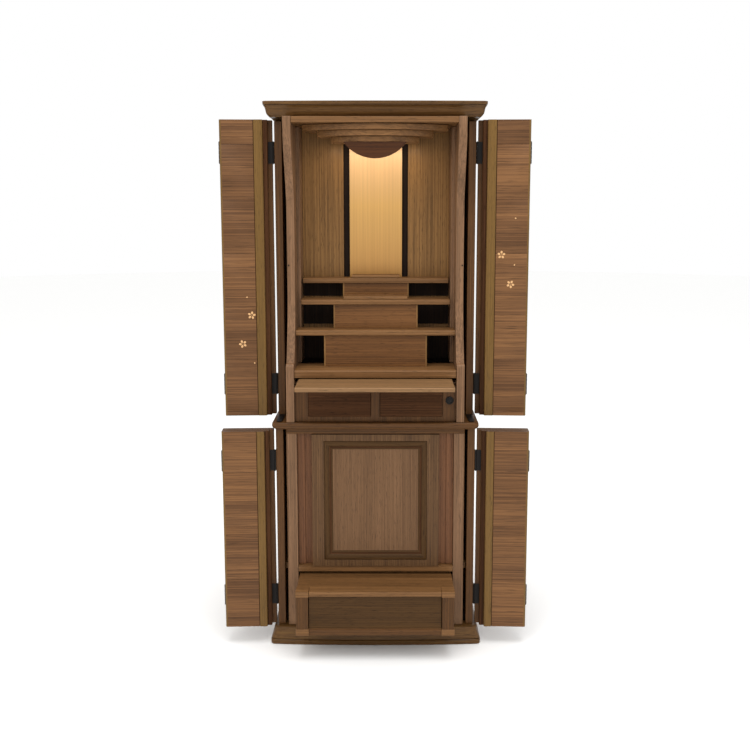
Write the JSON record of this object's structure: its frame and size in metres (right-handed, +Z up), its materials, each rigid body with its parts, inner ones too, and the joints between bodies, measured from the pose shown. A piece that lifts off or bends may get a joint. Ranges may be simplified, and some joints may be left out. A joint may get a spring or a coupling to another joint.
{
  "type": "household altar cabinet",
  "caption": "Tall walnut altar cabinet with folding doors, a pull-out step below, and an inner altar of stepped boards under a canopy with small drawers and a pull-out shelf.",
  "frame": {"origin": "centre of the overall box in plan, on the floor plane under the base", "axes": "+Z up, +Y to the back of the cabinet, +X to the right seen from the front"},
  "size_m": [0.8436, 0.548, 1.49],
  "materials": {
    "walnut": "satin varnish over walnut",
    "door_veneer": "satin varnish over walnut veneer",
    "olive_edging": "satin varnish over olive-brown stain",
    "reddish_strip": "satin varnish over red-brown stain",
    "dark_board": "dark stained board",
    "gold_panel": "board faced with gold paper",
    "black_metal": "black oxidised steel"
  },
  "bodies": {
    "cabinet": {"base": "olive_edging", "crown": "olive_edging", "lower_side_left": "walnut", "lower_side_right": "walnut", "front_post_left": "walnut", "front_post_right": "walnut", "frieze_rail": "walnut", "cupboard_floor": "walnut", "waist_board": "walnut", "upper_side_left": "walnut", "upper_side_right": "walnut", "back_board": "walnut", "jamb_strip_left": "reddish_strip", "jamb_strip_right": "reddish_strip", "niche_floor": "dark_board", "lower_panel": "door_veneer", "guide_plate_left": "black_metal", "guide_plate_right": "black_metal"},
    "altar": {"altar_side_left": "walnut", "altar_side_right": "walnut", "altar_back_board": "dark_board", "niche_panel_left": "walnut", "niche_panel_right": "walnut", "gold_panel": "gold_panel", "tier_platform": "walnut", "riser_lower": "walnut", "tier_lower": "walnut", "riser_middle": "walnut", "tier_middle": "walnut", "tier_stand": "walnut", "riser_upper": "walnut", "tier_upper": "walnut", "image_stand": "walnut", "canopy_board_top": "walnut", "canopy_board_upper": "walnut", "canopy_board_middle": "walnut", "canopy_board_lower": "walnut", "canopy_valance": "walnut", "drawer_frame": "walnut", "altar_floor": "walnut", "round_switch": "black_metal"},
    "shelf": {"pull_out_shelf": "walnut"},
    "drawer_left": {"small_drawer_left": "door_veneer"},
    "drawer_right": {"small_drawer_right": "door_veneer"},
    "step": {"step_post_left": "walnut", "step_post_right": "walnut", "step_side_left": "walnut", "step_side_right": "walnut", "step_top": "walnut", "step_front": "walnut", "step_back": "walnut"},
    "upper_left_inner": {"upper_leaf_left_inner": "door_veneer"},
    "upper_left_outer": {"upper_leaf_left_outer": "door_veneer"},
    "upper_right_inner": {"upper_leaf_right_inner": "door_veneer"},
    "upper_right_outer": {"upper_leaf_right_outer": "door_veneer"},
    "lower_left_inner": {"lower_leaf_left_inner": "door_veneer"},
    "lower_left_outer": {"lower_leaf_left_outer": "door_veneer"},
    "lower_right_inner": {"lower_leaf_right_inner": "door_veneer"},
    "lower_right_outer": {"lower_leaf_right_outer": "door_veneer"}
  },
  "joints": [
    {"name": "altar_slide", "type": "slide", "parent": "cabinet", "child": "altar", "axis": [0, 1, 0], "range_m": [0, 0.095]},
    {"name": "shelf_slide", "type": "slide", "parent": "altar", "child": "shelf", "axis": [0, 1, 0], "range_m": [0, 0.115]},
    {"name": "drawer_left_slide", "type": "slide", "parent": "altar", "child": "drawer_left", "axis": [0, -1, 0], "range_m": [0, 0.12]},
    {"name": "drawer_right_slide", "type": "slide", "parent": "altar", "child": "drawer_right", "axis": [0, -1, 0], "range_m": [0, 0.12]},
    {"name": "step_slide", "type": "slide", "parent": "cabinet", "child": "step", "axis": [0, 1, 0], "range_m": [0, 0.115]},
    {"name": "upper_left_hinge", "type": "hinge", "parent": "cabinet", "child": "upper_left_inner", "pos_m": [-0.27525, -0.076, 1.04], "axis": [0, 0, 1], "range_deg": [-2, 87]},
    {"name": "upper_right_hinge", "type": "hinge", "parent": "cabinet", "child": "upper_right_inner", "pos_m": [0.27525, -0.076, 1.04], "axis": [0, 0, -1], "range_deg": [-2, 87]},
    {"name": "lower_left_hinge", "type": "hinge", "parent": "cabinet", "child": "lower_left_inner", "pos_m": [-0.27525, -0.146, 0.331], "axis": [0, 0, 1], "range_deg": [-2, 87]},
    {"name": "lower_right_hinge", "type": "hinge", "parent": "cabinet", "child": "lower_right_inner", "pos_m": [0.27525, -0.146, 0.331], "axis": [0, 0, -1], "range_deg": [-2, 87]},
    {"name": "upper_left_fold", "type": "hinge", "parent": "upper_left_inner", "child": "upper_left_outer", "pos_m": [-0.41862, -0.08201, 1.04], "axis": [0, 0, -1], "range_deg": [0, 178]},
    {"name": "upper_right_fold", "type": "hinge", "parent": "upper_right_inner", "child": "upper_right_outer", "pos_m": [0.41862, -0.08201, 1.04], "axis": [0, 0, 1], "range_deg": [0, 178]},
    {"name": "lower_left_fold", "type": "hinge", "parent": "lower_left_inner", "child": "lower_left_outer", "pos_m": [-0.41862, -0.15201, 0.331], "axis": [0, 0, -1], "range_deg": [0, 178]},
    {"name": "lower_right_fold", "type": "hinge", "parent": "lower_right_inner", "child": "lower_right_outer", "pos_m": [0.41862, -0.15201, 0.331], "axis": [0, 0, 1], "range_deg": [0, 178]}
  ]
}
